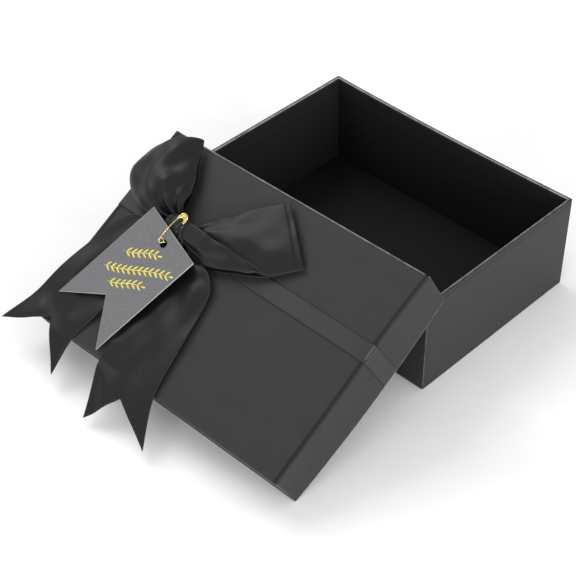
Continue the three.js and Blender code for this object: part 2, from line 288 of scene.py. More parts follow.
def spline(points, share):
    """A smooth curve through points: Catmull-Rom spans, with share 0 at the first and 1 at the last."""
    points = np.array(points, float)
    padded = np.vstack([2 * points[0] - points[1], points, 2 * points[-1] - points[-2]])
    place = np.clip(np.asarray(share, float), 0, 1) * (len(points) - 1)
    span = np.minimum(place.astype(int), len(points) - 2)
    t = (place - span)[..., None]
    a, b, c, d = (padded[span + k] for k in range(4))
    return 0.5 * (2 * b + (c - a) * t + (2 * a - 5 * b + 4 * c - d) * t**2 + (3 * b - a - 3 * c + d) * t**3)


def smooth_step(value):
    """0 below 0, 1 above 1, and 3t² − 2t³ between."""
    t = np.clip(value, 0, 1)
    return t * t * (3 - 2 * t)


def hump(value):
    """A bell exp(−t²) with its top at 0."""
    return np.exp(-value**2)


def rounded(corners, radius, spacing, steps=7):
    """An outline of straight runs whose inner corners are arcs. A corner on a straight run only
    brings its points closer together. Each arc is (1−t)²A + 2t(1−t)P + t²B round its corner P."""
    corners = np.array(corners, float)
    t = np.linspace(0, 1, steps)[:, None]
    whole = [corners[:1]]
    for before, corner, after in zip(corners[:-2], corners[1:-1], corners[2:]):
        a = corner + (before - corner) / np.linalg.norm(before - corner) * radius
        b = corner + (after - corner) / np.linalg.norm(after - corner) * radius
        whole += [straight_run(whole[-1][-1], a, spacing)]
        whole += [(1 - t) ** 2 * a + 2 * t * (1 - t) * corner + t**2 * b]
    whole += [straight_run(whole[-1][-1], corners[-1], spacing), corners[-1:]]
    return np.concatenate(whole)


def straight_run(start, end, spacing):
    """The points inside a straight run, without its two ends."""
    share = run_shares(np.linalg.norm(end - start), spacing)[:, None]
    return start * (1 - share) + end * share


def run_shares(run, spacing):
    """Shares along a straight run: close together near its two ends, then evenly spaced."""
    near = np.array([0.25, 0.6, 1.1, 1.5, 1.8, 2.1, 2.4, 2.8, 3.6])
    near = near[near < run / 3] / run
    middle = np.linspace(0, 1, max(2, int(run / spacing)) + 1)[1:-1]
    middle = middle[(middle > 4.6 / run) & (middle < 1 - 4.6 / run)]
    return np.sort(np.concatenate([near, middle, 1 - near]))


def ring(half_x, half_y, inset, corner, spacing, steps=5):
    """Plans of a rectangle with round corners, one for each inset, counterclockwise from above.

    Each of four sides is a straight run at its distance less the inset, then a quarter circle.
    """
    inset = np.atleast_1d(np.asarray(inset, float))[:, None]
    radius = np.maximum(corner - inset, 0.2)
    quarter = np.linspace(0, np.pi / 2, steps + 2)[1:-1]
    sides = []
    for side in range(4):
        run, off = (half_x, half_y) if side % 2 == 0 else (half_y, half_x)
        turn = side * math.pi / 2
        along = np.round([math.cos(turn), math.sin(turn)])
        away = np.array([along[1], -along[0]])
        share = np.concatenate([[0], run_shares(2 * run, spacing), [1]]) * 2 - 1
        straight = share * (run - inset - radius)
        arc_along = run - inset - radius + radius * np.sin(quarter)
        arc_away = off - inset - radius + radius * np.cos(quarter)
        all_along = np.concatenate([straight, arc_along], 1)[..., None]
        straight_away = np.broadcast_to(off - inset, straight.shape)
        all_away = np.concatenate([straight_away, arc_away], 1)[..., None]
        sides.append(all_along * along + all_away * away)
    return np.concatenate(sides, 1)


def ring_stack(centre, half, profile, corner=CORNER_ROUND, spacing=6.0):
    """A profile (inset, height) carried round a rectangle, in millimetres: (levels, points, 3)."""
    plan = ring(half[0], half[1], profile[:, 0], corner, spacing)
    height = np.broadcast_to(profile[:, 1][:, None, None], (*plan.shape[:2], 1))
    return np.concatenate([plan + np.array(centre[:2]), height], 2)


def carried(path, section_along, section_across, side):
    """A section carried along a path: (path points, section points, 3).

    At each point the section's first axis is the path's direction crossed with side, and its
    second is the direction crossed with the first. The section runs so that its skin faces out.
    """
    ahead = np.gradient(path, axis=0)
    ahead /= np.linalg.norm(ahead, axis=1, keepdims=True)
    first = np.cross(ahead, side)
    first /= np.linalg.norm(first, axis=1, keepdims=True)
    second = np.cross(ahead, first)
    return (path[:, None] + section_along[..., None] * first[:, None]
            + section_across[..., None] * second[:, None])


def set_modifier(piece, kind, **settings):
    """Adds one modifier with its settings."""
    modifier = piece.modifiers.new(kind.title(), kind)
    for key, value in settings.items():
        setattr(modifier, key, value)


def give_thickness(piece, millimetres, offset):
    """Turns a surface into a sheet: offset −1 is all behind it and 0 is half each way."""
    set_modifier(piece, "SOLIDIFY", thickness=millimetres * MM, offset=offset)


def mount(piece, body, slot, *nodes):
    """Rides a finished piece on its body and hides the nodes it stands for; the slot it is given is not used.
    """
    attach(piece, body)
    if nodes:
        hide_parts(*nodes)
    return piece


# ---------------------------------------------------------------- materials


def add(tree, kind, inputs=None, **settings):
    """Adds one node, with its settings, and its inputs set to values or linked to other nodes."""
    made = tree.nodes.new(kind)
    for key, value in settings.items():
        setattr(made, key, value)
    for key, value in (inputs or {}).items():
        if isinstance(value, bpy.types.NodeSocket):
            tree.links.new(value, made.inputs[key])
        else:
            made.inputs[key].default_value = value
    return made


def new_material(name, **shader):
    """An empty material with a Principled shader: its node tree, its shader and itself."""
    material = bpy.data.materials.new(name)
    material.use_nodes = True
    tree = material.node_tree
    surface = tree.nodes["Principled BSDF"]
    for key, value in shader.items():
        surface.inputs[key.replace("_", " ")].default_value = value
    return material, tree, surface


def object_place(tree, stretch=(1, 1, 1)):
    """Object coordinates in millimetres, stretched along each axis."""
    source = add(tree, "ShaderNodeTexCoord").outputs["Object"]
    scale = [1 / (MM * s) for s in stretch]
    return add(tree, "ShaderNodeMapping", {"Vector": source, "Scale": scale}).outputs[0]


def grain(tree, place, millimetres, detail=3.0, roughness=0.55):
    """Noise whose grains are about that many millimetres across."""
    return add(tree, "ShaderNodeTexNoise", {
        "Vector": place, "Scale": 1 / millimetres, "Detail": detail, "Roughness": roughness,
    }).outputs["Fac"]


def blend_between(tree, share, low, high, first, second):
    """One colour passing to another as share goes from low to high."""
    spread = add(tree, "ShaderNodeMapRange", {"Value": share, "From Min": low, "From Max": high})
    mix = add(tree, "ShaderNodeMix", data_type="RGBA")
    tree.links.new(spread.outputs[0], mix.inputs[0])
    for socket, value in ((mix.inputs[6], first), (mix.inputs[7], second)):
        if isinstance(value, bpy.types.NodeSocket):
            tree.links.new(value, socket)
        else:
            socket.default_value = value
    return mix.outputs[2]


def shade(base, share):
    """A colour made lighter or darker by a share."""
    return tuple(min(1.0, channel * share) for channel in base[:3]) + (1.0,)


def paint(tree, surface, painted, relief=None, millimetres=0.03, strength=0.4):
    """Gives a surface its colour and, where there is a relief, bumps that many millimetres deep."""
    tree.links.new(painted, surface.inputs["Base Color"])
    if relief is not None:
        made = add(tree, "ShaderNodeBump", {
            "Height": relief, "Distance": millimetres * MM, "Strength": strength,
        })
        tree.links.new(made.outputs[0], surface.inputs["Normal"])


def wear_and_light_share(tree):
    """The share of rubbing, painted highlight and painted shade that the mesh carries at each point."""
    return add(tree, "ShaderNodeAttribute", attribute_name="wear_and_painted_light").outputs["Fac"]


def wrap_paper(name, base, worn_and_highlight):
    """Uncoated dyed paper, calendered: dull and even, with a faint cloudy mottle from its fibres,
    pale where creases are rubbed and where highlights along rims and edges are painted, and
    painted in shade where it is pressed into a joint or channel."""
    material, tree, surface = new_material(name, Roughness=0.55, Specular_IOR_Level=0.22)
    place = object_place(tree)
    cloud = blend_between(tree, grain(tree, place, 11.0), 0.3, 0.7, shade(base, 0.93), shade(base, 1.07))
    fibre = grain(tree, place, 0.9, detail=4.0, roughness=0.7)
    flecked = blend_between(tree, fibre, 0.66, 0.8, cloud, shade(base, 1.3))
    share_of_wear_and_light = wear_and_light_share(tree)
    patches = grain(tree, place, 5.0)
    patchy = add(tree, "ShaderNodeMath", {0: share_of_wear_and_light, 1: patches}, operation="MULTIPLY").outputs[0]
    # Pale where creases are rubbed and where highlights are painted along rims and edges.
    rubbed = blend_between(tree, patchy, 0.1, 0.75, flecked, worn_and_highlight)
    # Painted shade: below 0 the paper goes nearly black, in joints and channels.
    painted = blend_between(tree, share_of_wear_and_light, 0.0, -1.0, rubbed, shade(base, 0.2))
    paint(tree, surface, painted, fibre, strength=0.5)
    return material


def lining_paper(name, base):
    """Black liner paper: very matt, with a barely lighter fibre."""
    material, tree, surface = new_material(name, Roughness=0.9, Specular_IOR_Level=0.12)
    fibre = grain(tree, object_place(tree), 0.8, detail=4.0)
    painted = blend_between(tree, fibre, 0.35, 0.75, shade(base, 0.85), shade(base, 1.25))
    paint(tree, surface, painted, fibre)
    return material


def grey_board(name, base):
    """Recycled grey board: coarse flecked pulp with soft light and dark fibres."""
    material, tree, surface = new_material(name, Roughness=0.95)
    place = object_place(tree)
    pulp = blend_between(tree, grain(tree, place, 1.4), 0.35, 0.65, shade(base, 0.86), shade(base, 1.1))
    fleck = grain(tree, place, 0.5, detail=2.0)
    painted = blend_between(tree, fleck, 0.62, 0.72, pulp, shade(base, 0.55))
    paint(tree, surface, painted, fleck, 0.05, 0.5)
    return material


def corner_tape(name, base):
    """Gummed kraft tape: warm and matt, with long faint fibres along the corner."""
    material, tree, surface = new_material(name, Roughness=0.8)
    fibre = grain(tree, object_place(tree, (0.5, 0.5, 6.0)), 1.0)
    painted = blend_between(tree, fibre, 0.35, 0.7, shade(base, 0.85), shade(base, 1.1))
    paint(tree, surface, painted, fibre)
    return material


# Satin: the selvedge's width in millimetres and shade, and the bow's streaks and roughness.
SELVEDGE = 0.9
BOW_STREAK = 0.25
BOW_GLOSS = 0.47
PALE_SELVEDGE = 2.6


def satin(name, base, streak, gloss, width, edge=1.0):
    """Polyester satin, woven with long floats: a soft broad sheen, fine streaks along the ribbon
    and a plain woven selvedge of another shade on both sides of a width in millimetres. Its real
    threads lie 0.1 mm apart and are drawn 0.45 mm apart."""
    material, tree, surface = new_material(
        name, Roughness=gloss, Sheen_Weight=0.03, Sheen_Roughness=0.3, Specular_IOR_Level=0.33,
    )
    cloth = add(tree, "ShaderNodeUVMap", uv_map="cloth_mm").outputs[0]
    long_way = add(tree, "ShaderNodeMapping", {"Vector": cloth, "Scale": (1.0, 0.035, 1.0)}).outputs[0]
    thread = grain(tree, long_way, 0.45, detail=2.0)
    streaks = grain(tree, long_way, 2.6, detail=3.0)
    body = blend_between(tree, streaks, 0.3, 0.7, shade(base, 1 - streak), shade(base, 1 + streak))
    painted = blend_between(tree, thread, 0.25, 0.8, body, shade(base, 1.0 + 1.6 * streak))
    across = add(tree, "ShaderNodeSeparateXYZ", {"Vector": cloth}).outputs[0]
    aside = add(tree, "ShaderNodeMath", {0: across, 1: width / 2}, operation="SUBTRACT").outputs[0]
    off_middle = add(tree, "ShaderNodeMath", {0: aside}, operation="ABSOLUTE").outputs[0]
    inner, outer = width / 2 - SELVEDGE, width / 2 - SELVEDGE + 0.3
    edged = blend_between(tree, off_middle, inner, outer, painted, shade(base, edge))
    paint(tree, surface, edged, thread, 0.06, 0.35)
    return material


def card_stock(name, base):
    """Uncoated cardstock: pulp with pale and dark specks and a slight tooth, and a painted highlight along
    its cut rim.
    """
    material, tree, surface = new_material(name, Roughness=0.82)
    place = object_place(tree)
    speckle = grain(tree, place, 1.2, detail=5.0)
    pulp = blend_between(tree, speckle, 0.3, 0.7, shade(base, 0.86), shade(base, 1.12))
    fleck = grain(tree, place, 0.55, detail=2.0)
    dark = blend_between(tree, fleck, 0.3, 0.38, shade(base, 0.7), pulp)
    painted = blend_between(tree, fleck, 0.64, 0.72, dark, shade(base, 1.35))
    # Painted highlight along the card's cut rim, read from the mesh's share.
    edged = blend_between(tree, wear_and_light_share(tree), 0.0, 1.0, painted, shade(base, 2.6))
    paint(tree, surface, edged, fleck, 0.05, 0.5)
    return material


def gold_metal(name, base, gloss):
    """Polished gold plate on steel wire: bright and warm, with a few fine rubbed patches."""
    material, tree, surface = new_material(name, Metallic=1.0)
    place = object_place(tree)
    rubbed = grain(tree, place, 0.8)
    paint(tree, surface, blend_between(tree, rubbed, 0.35, 0.75, base, shade(base, 0.78)))
    spread = add(tree, "ShaderNodeMapRange", {
        "Value": rubbed, "From Min": 0.3, "From Max": 0.7, "To Min": gloss, "To Max": gloss + 0.14,
    })
    tree.links.new(spread.outputs[0], surface.inputs["Roughness"])
    return material


def studio_floor(name):
    """White sweep paper: pale, smooth and without shine, with a hardly visible cloud."""
    material, tree, surface = new_material(name, Roughness=0.9)
    cloud = grain(tree, object_place(tree), 60.0)
    paint(tree, surface, blend_between(tree, cloud, 0.2, 0.8, colour("f4f4f4"), colour("fbfbfb")))
    return material


# ---------------------------------------------------------------- papered tray and lid


def tray_bow(points):
    """The tray's far wall bows in: by rim_bow at the middle of its rim, as a parabola along it and
    straight down to the floor."""
    bow = bpy.context.scene.gift_box_paper.rim_bow / MM
    x, y, z = points[..., 0], points[..., 1], points[..., 2]
    near_wall = smooth_step((y - TRAY_HIGH[1] + 9.0) / 5.0)
    shift = bow * np.clip(1 - (x / TRAY_HIGH[0]) ** 2, 0, 1) * z / TRAY_HIGH[2] * near_wall
    return points - shift[..., None] * np.array([0, 1.0, 0])


def lid_bow(points):
    """The lid's right wall leans: its top crease is drawn in towards the back, as a bell, and its
    rim bows out, as a parabola."""
    bow = bpy.context.scene.gift_box_paper.lid_bow / MM
    x, y, z = points[..., 0], points[..., 1], points[..., 2]
    near_wall = smooth_step((x - LID_HIGH[0] + 16.0) / 12.0)
    depth = np.clip(-z / (LID_HIGH[2] - LID_LOW[2]), 0, 1)
    share = y / LID_HIGH[1]
    rim = bow * np.clip(1 - share**2, 0, 1)
    crease = -CREASE_DRAW * hump((share - 0.45) / 0.5)
    shift = (rim * depth + crease * (1 - depth)) * near_wall
    return points + shift[..., None] * np.array([1.0, 0, 0])


def corner_flaps(points, half):
    """Two narrow channels, one on each wall, just beside each upright corner where paper flaps end."""
    beside = half[:2] - np.abs(points[..., :2])
    moved = points.copy()
    for axis in (0, 1):
        on_wall = beside[..., axis] < 0.1
        depth = CHANNEL_DEPTH * hump((beside[..., 1 - axis] - FLAP_END) / 0.35) * on_wall
        moved[..., axis] -= depth * np.sign(points[..., axis])
    return moved


def edge_wear_and_painted_light(points, half, levels):
    """Rubbing and painted light on the skin, pale above 0 and dark below it: the highest of a bell round
    each given height, times its own share, and a bell round the upright corners, less a narrow bell where
    the paper flaps end beside each corner. The bells at the given heights are partly rubbing and partly
    painted highlight along the rim lines, the corner bell is rubbing, and the narrow bell is painted
    shade in the flap channels."""
    beside = half[:2] - np.abs(points[..., :2])
    corner = 0.5 * hump(beside[..., 0] / 0.7) * hump(beside[..., 1] / 0.7)
    edges = [hump((points[..., 2] - level) / 0.6) * share for level, share in levels]
    near, far = beside.min(-1), beside.max(-1)
    flaps = 0.6 * hump((far - FLAP_END) / 0.45) * (near < 0.25)
    return np.maximum.reduce([corner, *edges]) - flaps


def box_skin(name, place, points, wear_and_painted_light, end_cap=False):
    """The finished paper skin of the tray or the lid."""
    paper = bpy.context.scene.gift_box_paper
    material = wrap_paper(name, paper.wrap, paper.worn_and_highlight)
    piece = grid_piece(name, place.world(points), material, close_columns=True, end_cap=end_cap, wear_and_painted_light=wear_and_painted_light)
    give_thickness(piece, PAPER, -1)
    return piece


def wrap_tray():
    """The tray's paper: a path of inset and height, from below the floor up the walls, over the rim
    and down inside, carried round the tray. A shallow channel runs outside just below the rim."""
    paper = bpy.context.scene.gift_box_paper
    bottom, top = TRAY_LOW[2], TRAY_HIGH[2]
    corners = [(TURNED_UNDER, bottom), (0, bottom), (0, top - RIM_CHANNEL), (0, top)]
    corners += [(WALL, top), (WALL, top - TURNED_DOWN)]
    path = rounded(corners, paper.edge_round / MM, 5.0)
    outside = path[:, 0] < 0.05
    path[:, 0] += CHANNEL_DEPTH * hump((path[:, 1] - top + RIM_CHANNEL) / 0.45) * outside
    points = corner_flaps(ring_stack((0, 0), TRAY_HIGH, path), TRAY_HIGH)
    wear_and_painted_light = edge_wear_and_painted_light(points, TRAY_HIGH, [(bottom, 0.3)])
    depth = (TRAY_HIGH[:2] - np.abs(points[..., :2])).min(-1)
    # A pale line along the rim: a little rubbing all over it and a painted highlight at its inner edge.
    rim = hump((points[..., 2] - top) / 0.5)
    wear_and_painted_light = np.maximum(wear_and_painted_light, rim * (0.25 + 1.2 * hump((depth - WALL + 0.25) / 0.5)))
    # Painted shade in the channel just below the rim.
    wear_and_painted_light -= 0.5 * hump((points[..., 2] - top + RIM_CHANNEL) / 0.7) * (depth < 0.3)
    return box_skin("tray_paper", TRAY, tray_bow(points), wear_and_painted_light)


def wrap_lid():
    """The lid's paper: a path from inside its skirt over the rim, up the outside and in over the
    top, carried round the lid, with one flat face inside TOP_FLAT. It sinks into the joint between
    the top board and the wall boards."""
    paper = bpy.context.scene.gift_box_paper
    rim = LID_LOW[2]
    corners = [(WALL, rim + TURNED_DOWN), (WALL, rim), (0, rim), (0, 0), (LID_JOINT, 0), (TOP_FLAT, 0)]
    path = rounded(corners, paper.edge_round / MM, 5.0)
    points = ring_stack((0, 0), LID_HIGH, path)
    beside = LID_HIGH[:2] - np.abs(points[..., :2])
    on_top = points[..., 2] > -0.6
    ends = hump((beside[..., 0] - LID_JOINT) / 1.1) * on_top
    sides = hump((beside[..., 1] - LID_JOINT) / 0.8) * on_top
    points[..., 2] -= np.maximum(0.23 * ends, 0.12 * sides)
    points = corner_flaps(points, LID_HIGH)
    wear_and_painted_light = edge_wear_and_painted_light(points, LID_HIGH, [(rim, 1.5)])
    # Painted highlight along the top's long edges, full on the back edge and faint on the front.
    long_edge_highlight = hump((beside[..., 1] - 0.2) / 0.6) * on_top * np.where(points[..., 1] > 0, 1.0, 0.15)
    # Painted shade in the grooves at the top's two ends, where the wall boards meet the top board.
    wear_and_painted_light = np.maximum(wear_and_painted_light, long_edge_highlight) * (1 - ends) - ends
    return box_skin("lid_paper", LID, lid_bow(points), wear_and_painted_light, end_cap=True)


# Each half of the box: its name, its place, its bow and the board that closes it.
HALVES = (("tray", TRAY, tray_bow, "floor"), ("lid", LID, lid_bow, "top"))


class GIFTBOX_OT_wraps(bpy.types.Operator):
    """Wrap the tray and the lid in charcoal paper"""

    bl_idname = "giftbox.wraps"
    bl_label = "Paper wraps"

    def execute(self, context):
        mount(wrap_tray(), "tray", "wrap_paper", "tray_wrap")
        mount(wrap_lid(), "lid", "wrap_paper", "lid_wrap")
        paper = context.scene.gift_box_paper
        base = frame["nodes"]["tray_base_sheet"]
        base.data.materials.clear()
        base.data.materials.append(wrap_paper("base_sheet_paper", paper.wrap, paper.worn_and_highlight))
        return {"FINISHED"}


def bevelled_block(name, place, low, high, bow, material, bevel=0.15):
    """A board as a closed stack of rings: each level is its outline, stood in at the bevels."""
    centre, half = (low + high) / 2, (high - low) / 2
    levels = np.concatenate([[low[2]], np.linspace(low[2] + bevel, high[2] - bevel, 8), [high[2]]])
    inset = np.zeros(len(levels))
    inset[[0, -1]] = bevel
    profile = np.stack([inset, levels], 1)
    return closed_tube(name, place.world(bow(ring_stack(centre, half, profile, bevel, 8.0))), material)


class GIFTBOX_OT_boards(bpy.types.Operator):
    """Make the grey boards and their corner tapes, bowed as the papered walls are"""

    bl_idname = "giftbox.boards"
    bl_label = "Boards and tapes"

    def execute(self, context):
        paper = context.scene.gift_box_paper
        board = grey_board("grey_board", paper.board)
        tape = corner_tape("gummed_tape", paper.tape)
        for body, place, bow, closed_end in HALVES:
            for side in ("front", "back", "left", "right", closed_end):
                node = f"{body}_{side}_board"
                low, high = node_span(place, node)
                piece = bevelled_block(f"{body}_{side}_greyboard", place, low, high, bow, board)
                mount(piece, body, "greyboard", node)
            for corner in (1, 2, 3, 4):
                node = f"{body}_corner_stay_{corner}"
                low, high = node_span(place, node)
                piece = corner_stay(f"{body}_corner_tape_{corner}", place, low, high, bow, tape)
                mount(piece, body, "stay_tape", node)
        return {"FINISHED"}


def corner_stay(name, place, low, high, bow, material):
    """An L of tape round one upright corner: two legs, carried straight up and given a thickness."""
    middle = (low + high) / 2
    corner = np.where(middle[:2] > 0, high[:2], low[:2])
    ends = np.where(middle[:2] > 0, low[:2], high[:2])
    legs = [(ends[0], corner[1]), (corner[0], corner[1]), (corner[0], ends[1])]
    if middle[0] * middle[1] < 0:
        legs.reverse()
    path = rounded(legs, 0.3, 3.0)[::-1]
    level = np.linspace(low[2], high[2], 9)
    points = np.empty((len(level), len(path), 3))
    points[..., :2] = path
    points[..., 2] = level[:, None]
    piece = grid_piece(name, place.world(bow(points)), material)
    give_thickness(piece, 0.12, -1)
    return piece


def wall_liner(body, low, high):
    """The liner's path of inset and height, always downwards: it lies on the bare board, steps over
    the wrap's turned-down edge and ends just short of the rim."""
    bare, over = PAPER, 2 * PAPER + 0.05
    if body == "tray":
        rim = TRAY_HIGH[2] - RIM_MARGIN
        corners = [(over, rim), (over, high[2] + 0.6), (bare, high[2] - 0.6), (bare, low[2])]
    else:
        rim = LID_LOW[2] + RIM_MARGIN
        corners = [(bare, high[2]), (bare, low[2] + 0.6), (over, low[2] - 0.6), (over, rim)]
    return rounded(corners, 0.3, 5.0)


class GIFTBOX_OT_linings(bpy.types.Operator):
    """Line the tray and the lid with black paper"""

    bl_idname = "giftbox.linings"
    bl_label = "Linings"

    def execute(self, context):
        material = lining_paper("black_liner", context.scene.gift_box_paper.lining)
        for body, place, bow, closed_end in HALVES:
            node = f"{body}_{closed_end}_lining"
            low, high = node_span(place, node)
            piece = bevelled_block(f"{body}_{closed_end}_liner", place, low, high, bow, material, 0.05)
            mount(piece, body, "lining_paper", node)
            node = f"{body}_wall_lining"
            low, high = node_span(place, node)
            profile = wall_liner(body, low, high)
            points = bow(ring_stack((low + high) / 2, (high - low) / 2, profile, spacing=8.0))
            piece = grid_piece(f"{body}_wall_liner", place.world(points), material, close_columns=True)
            give_thickness(piece, PAPER, -1)
            mount(piece, body, "lining_paper", node)
        return {"FINISHED"}


# ---------------------------------------------------------------- ribbon


# Ribbon thickness, lengths and widths in millimetres.
SATIN = 0.32
TAIL_LENGTH = 125.0
TAIL_TIP = LID_FRONT - 30.0
TUCK_WIDTH = 12.0
TUCK_LENGTH = 56.0

# The knot's strip as it was cut, in metres.
KNOT_FLAT = (0.026, 0.054)

# The stitch of ribbon that the needle picks up, in the bow's millimetres.
STITCH = (3.6, 16.0)

# Cloth this far back, in the bow's millimetres, is behind the tag.
BEHIND_TAG = 27.5

# Dents in folded cloth: how many waves there are across it and along it.
DENT_WAVES = (
    (0.5, 1.3), (0.9, 1.9), (-0.8, 2.4), (1.4, -1.1),
    (0.3, 3.4), (2.2, 2.6), (-1.9, 3.7), (2.7, -3.1),
)


def bow_satin(part, width, edge=PALE_SELVEDGE):
    """The satin of one part of the bow."""
    base = bpy.context.scene.gift_box_ribbon.satin
    return satin(f"bow_{part}_satin", base, BOW_STREAK, BOW_GLOSS, width, edge)


def lay_cloth(piece, held, flat, slot, *nodes):
    """Rides a piece of cloth on the lid. The size it was cut to, flat, in metres, is not used."""
    mount(piece, "lid", slot, *nodes)


def ribbon_piece(name, points, material, width, length):
    """A ribbon from a grid in the bow's millimetres, rows along it and columns across it, with cloth
    coordinates that run its real width and length."""
    rows, columns = points.shape[:2]
    uv = np.stack(cloth_grid(width, length, columns, rows), 2)
    piece = grid_piece(name, BOW.world(points), material, uv=uv)
    give_thickness(piece, SATIN, 0)
    return piece


def card_reach(points):
    """Where the hang tag can lie, from 0 to 1: near its hole, or within a little more than its
    length of the hole and half its width of a line that it can swing to."""
    away = points[..., :2] - CARD_IN_BOW[:2]
    radius = np.linalg.norm(away, axis=-1)
    turn = np.degrees(np.arctan2(away[..., 0], -away[..., 1]))
    beyond = np.radians(np.clip(np.abs(turn - SWING_MIDDLE) - SWING_HALF, 0, 90))
    aside, far, near = 36, 90, 34
    swept = smooth_step((aside - radius * np.sin(beyond)) / 9) * smooth_step((far - radius) / 12)
    return np.maximum(swept, smooth_step((near - radius) / 6))


def below_card(points, room=1.1):
    """Keeps cloth below the hang tag's plane wherever the tag can lie."""
    ceiling = CARD_IN_BOW[2] + (points[..., 1] - CARD_IN_BOW[1]) * CARD_SLOPE - room
    over = np.maximum(points[..., 2] - np.maximum(ceiling, 0.5), 0)
    moved = points.copy()
    moved[..., 2] -= over * card_reach(points) * (points[..., 1] < BEHIND_TAG)
    return moved


def fold_lines(across, out, folds):
    """Soft ridges and valleys: each fold is (start, end, reach, height, width). It runs from one
    share of the width to another, as a bell across, and fades with its reach as a bell along."""
    total = 0
    for start, end, reach, height, width in folds:
        total = total + height * hump((across - start - (end - start) * out) / width) * hump(out / reach)
    return total


def dents(across, along, seed):
    """Shallow dents as in cloth that was folded: a sum of waves, each of them a sine along its own
    direction and lower as it is shorter. Between them they never repeat along the cloth."""
    random = np.random.default_rng(seed)
    total = 0
    for turns_across, turns_along in DENT_WAVES:
        phase = random.uniform(0, 2 * np.pi)
        height = 0.3 / math.hypot(turns_across, turns_along)
        total = total + height * np.sin(2 * np.pi * (turns_across * across + turns_along * along) + phase)
    return total


def loop_points(upper_left, upper_right, crown, low, folds, far_bulge, dent, rows=150, columns=72):
    """One loop of the bow, from the knot over the top, round the far fold and back below.

    With θ from 0 to π, a point stands sin θ of the way out between the two selvedge curves, and
    between the lower layer and the upper one by (1 + cos θ) / 2. The upper layer is domed across by
    crown(out)·(1 − (2a − 1)²)^0.75, folded near the knot and dented beyond it.
    """
    turn = np.linspace(0, np.pi, rows)
    out, share = np.sin(turn), (1 + np.cos(turn[:, None])) / 2
    across = np.linspace(0, 1, columns)[None]
    left, right = spline(upper_left, out)[:, None], spline(upper_right, out)[:, None]
    points = left + (right - left) * across[..., None]
    ahead = (left + right)[rows // 2, 0, :2] - (left + right)[0, 0, :2]
    ahead /= np.linalg.norm(ahead)
    reach = out[:, None]
    dome = (1 - (2 * across - 1) ** 2) ** 0.75
    points[..., :2] += (far_bulge * dome * reach**6)[..., None] * ahead
    upper = points[..., 2] + crown(reach) * dome + fold_lines(across, reach, folds)
    upper = upper + dent * smooth_step(reach / 0.6) * dents(across, reach, 5)
    lower = low(reach)
    points[..., 2] = lower + (upper - lower) * share
    return points, across, reach, share


class GIFTBOX_OT_loops(bpy.types.Operator):
    """Make the bow's two loops and the spare fold tucked in beside them"""

    bl_idname = "giftbox.loops"
    bl_label = "Bow loops"

    def execute(self, context):
        ribbon = context.scene.gift_box_ribbon
        width = ribbon.width / MM
        material = bow_satin("loop", width)
        for side, points, length in (("left", left_loop(), 150.0), ("right", right_loop(), 165.0)):
            piece = ribbon_piece(f"bow_{side}_loop_ribbon", below_card(points), material, width, length)
            lay_cloth(piece, "gathered", (ribbon.width, length * MM), "bow_satin", f"bow_loop_{side}")
        points = below_card(tucked_fold())
        piece = ribbon_piece("bow_tuck_ribbon", points, material, TUCK_WIDTH, TUCK_LENGTH)
        lay_cloth(piece, "folded", (TUCK_WIDTH * MM, TUCK_LENGTH * MM), "bow_satin")
        return {"FINISHED"}


def tucked_fold():
    """A narrow fold of spare ribbon that comes out below the right loop and turns back under itself."""
    return loop_points(
        [(0, 19, 4.6), (10, 19, 4.6), (20, 17, 4.6), (29, 13.5, 4.2)],
        [(0, 10, 5.2), (10, 8.6, 4.8), (19, 7.2, 4.6), (27, 5.5, 4.0)],
        crown=lambda out: 0.9,
        low=lambda out: 2.6,
        folds=[(0.5, 0.6, 0.7, -1.0, 0.2)], far_bulge=1.0, dent=0.4, rows=60, columns=24,
    )[0]


def left_loop():
    """The left loop stands puffed up like a small pillow and lies over the lid's left end."""
    upper_left = [(-9, 17.5, 9), (-22, 15, 8), (-38, 17.5, 7.5), (-51, 25, 7.5), (-58, 36, 8), (-55, 49, 9)]
    upper_right = [(-5, 27, 9), (-8.5, 33, 8), (-10, 41, 7), (-13.5, 50, 7), (-20, 60, 7.5), (-28.5, 74, 7.5)]
    folds = [
        (0.30, 0.38, 0.42, 2.6, 0.07), (0.47, 0.52, 0.34, -3.0, 0.05), (0.62, 0.64, 0.40, 2.2, 0.06),
        (0.78, 0.79, 0.32, -2.6, 0.05), (0.15, 0.20, 0.36, -2.2, 0.06), (0.90, 0.92, 0.4, 1.2, 0.05),
        (0.42, 0.14, 1.4, -1.0, 0.14), (0.74, 0.60, 1.4, 0.9, 0.16),
    ]
    points, *_ = loop_points(
        upper_left, upper_right,
        crown=lambda out: 1.5 + 9.0 * smooth_step(out / 0.55),
        low=lambda out: 4.5 - 1.0 * smooth_step(out / 0.4),
        folds=folds, far_bulge=2.5, dent=3.8,
    )
    return points


